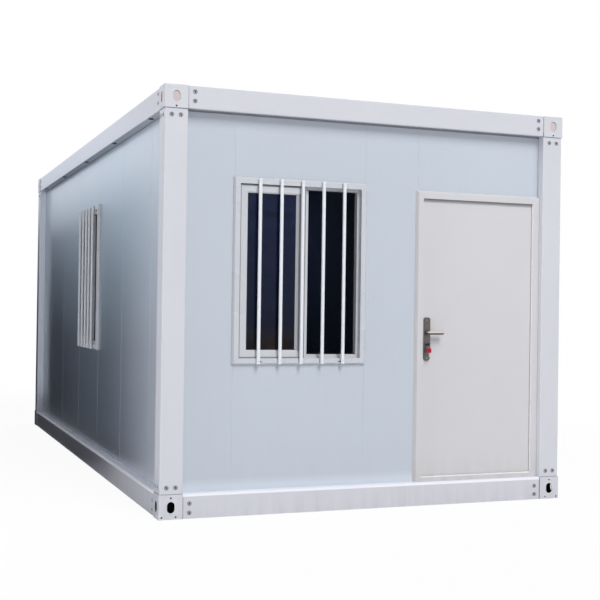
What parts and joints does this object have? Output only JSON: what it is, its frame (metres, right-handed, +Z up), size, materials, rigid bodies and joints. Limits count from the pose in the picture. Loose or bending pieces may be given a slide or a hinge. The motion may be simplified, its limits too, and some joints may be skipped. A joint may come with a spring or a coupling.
{
  "type": "shipping container cabin",
  "caption": "Box-shaped flat-pack cabin with a bolted steel frame, sandwich panel walls, guarded sliding windows and a hinged door in its short end.",
  "frame": {"origin": "centre of the footprint, at ground level", "axes": "+X to the right along the door end, +Y from the door end to the back, +Z up"},
  "size_m": [3, 6, 2.8],
  "materials": {
    "frame_paint": "satin white paint on folded steel",
    "wall_panel": "pre-painted pale blue-grey skin, glossy",
    "ceiling": "pre-painted white skin",
    "roof": "pre-painted ribbed sheet",
    "joist": "painted cold-formed steel",
    "floor": "fibre-cement board with a vinyl face",
    "window_profile": "white plastic profile",
    "window_glass": "dark reflecting pane",
    "guard_bar": "white powder coat",
    "door_frame": "warm white paint",
    "door_leaf": "warm white paint",
    "lock_metal": "brushed",
    "hinge_metal": "brushed",
    "key_metal": "nickel-plated key",
    "key_head": "red moulded head of the spare key"
  },
  "bodies": {
    "cabin": {"bottom_corner_fittings": "frame_paint", "top_corner_fittings": "frame_paint", "front_left_post": "frame_paint", "front_right_post": "frame_paint", "back_left_post": "frame_paint", "back_right_post": "frame_paint", "bottom_front_beam": "frame_paint", "bottom_back_beam": "frame_paint", "bottom_left_beam": "frame_paint", "bottom_right_beam": "frame_paint", "top_front_beam": "frame_paint", "top_back_beam": "frame_paint", "top_left_beam": "frame_paint", "top_right_beam": "frame_paint", "floor_joists": "joist", "floor_board": "floor", "ceiling_panel": "ceiling", "roof_sheet": "roof", "front_wall_left": "wall_panel", "front_wall_under_window": "wall_panel", "front_wall_over_window": "wall_panel", "front_wall_middle": "wall_panel", "front_wall_over_door": "wall_panel", "left_wall_panels": "wall_panel", "right_wall_panels": "wall_panel", "back_wall_panels": "wall_panel", "front_window_frame": "window_profile", "front_window_sashes": "window_profile", "front_window_glass": "window_glass", "front_guard_bars": "guard_bar", "left_window_frame": "window_profile", "left_window_sashes": "window_profile", "left_window_glass": "window_glass", "left_guard_bars": "guard_bar", "right_window_frame": "window_profile", "right_window_sashes": "window_profile", "right_window_glass": "window_glass", "right_guard_bars": "guard_bar", "door_frame": "door_frame", "door_hinge_pins": "hinge_metal"},
    "door": {"door_leaf": "door_leaf", "door_hinge_plates": "hinge_metal", "door_lock_set": "lock_metal", "door_key": "key_metal"},
    "door_lever": {"door_levers": "lock_metal"}
  },
  "joints": [
    {"name": "door_hinge", "type": "hinge", "parent": "cabin", "child": "door", "pos_m": [1.2975, -2.8805, 1.181], "axis": [0, 0, -1], "range_deg": [0, 90]},
    {"name": "lever_turn", "type": "hinge", "parent": "door", "child": "door_lever", "pos_m": [0.434, -2.9115, 1.208], "axis": [0, 1, 0], "range_deg": [0, 45], "stiffness_Nm_per_rad": 2, "springref_deg": -28.65}
  ]
}
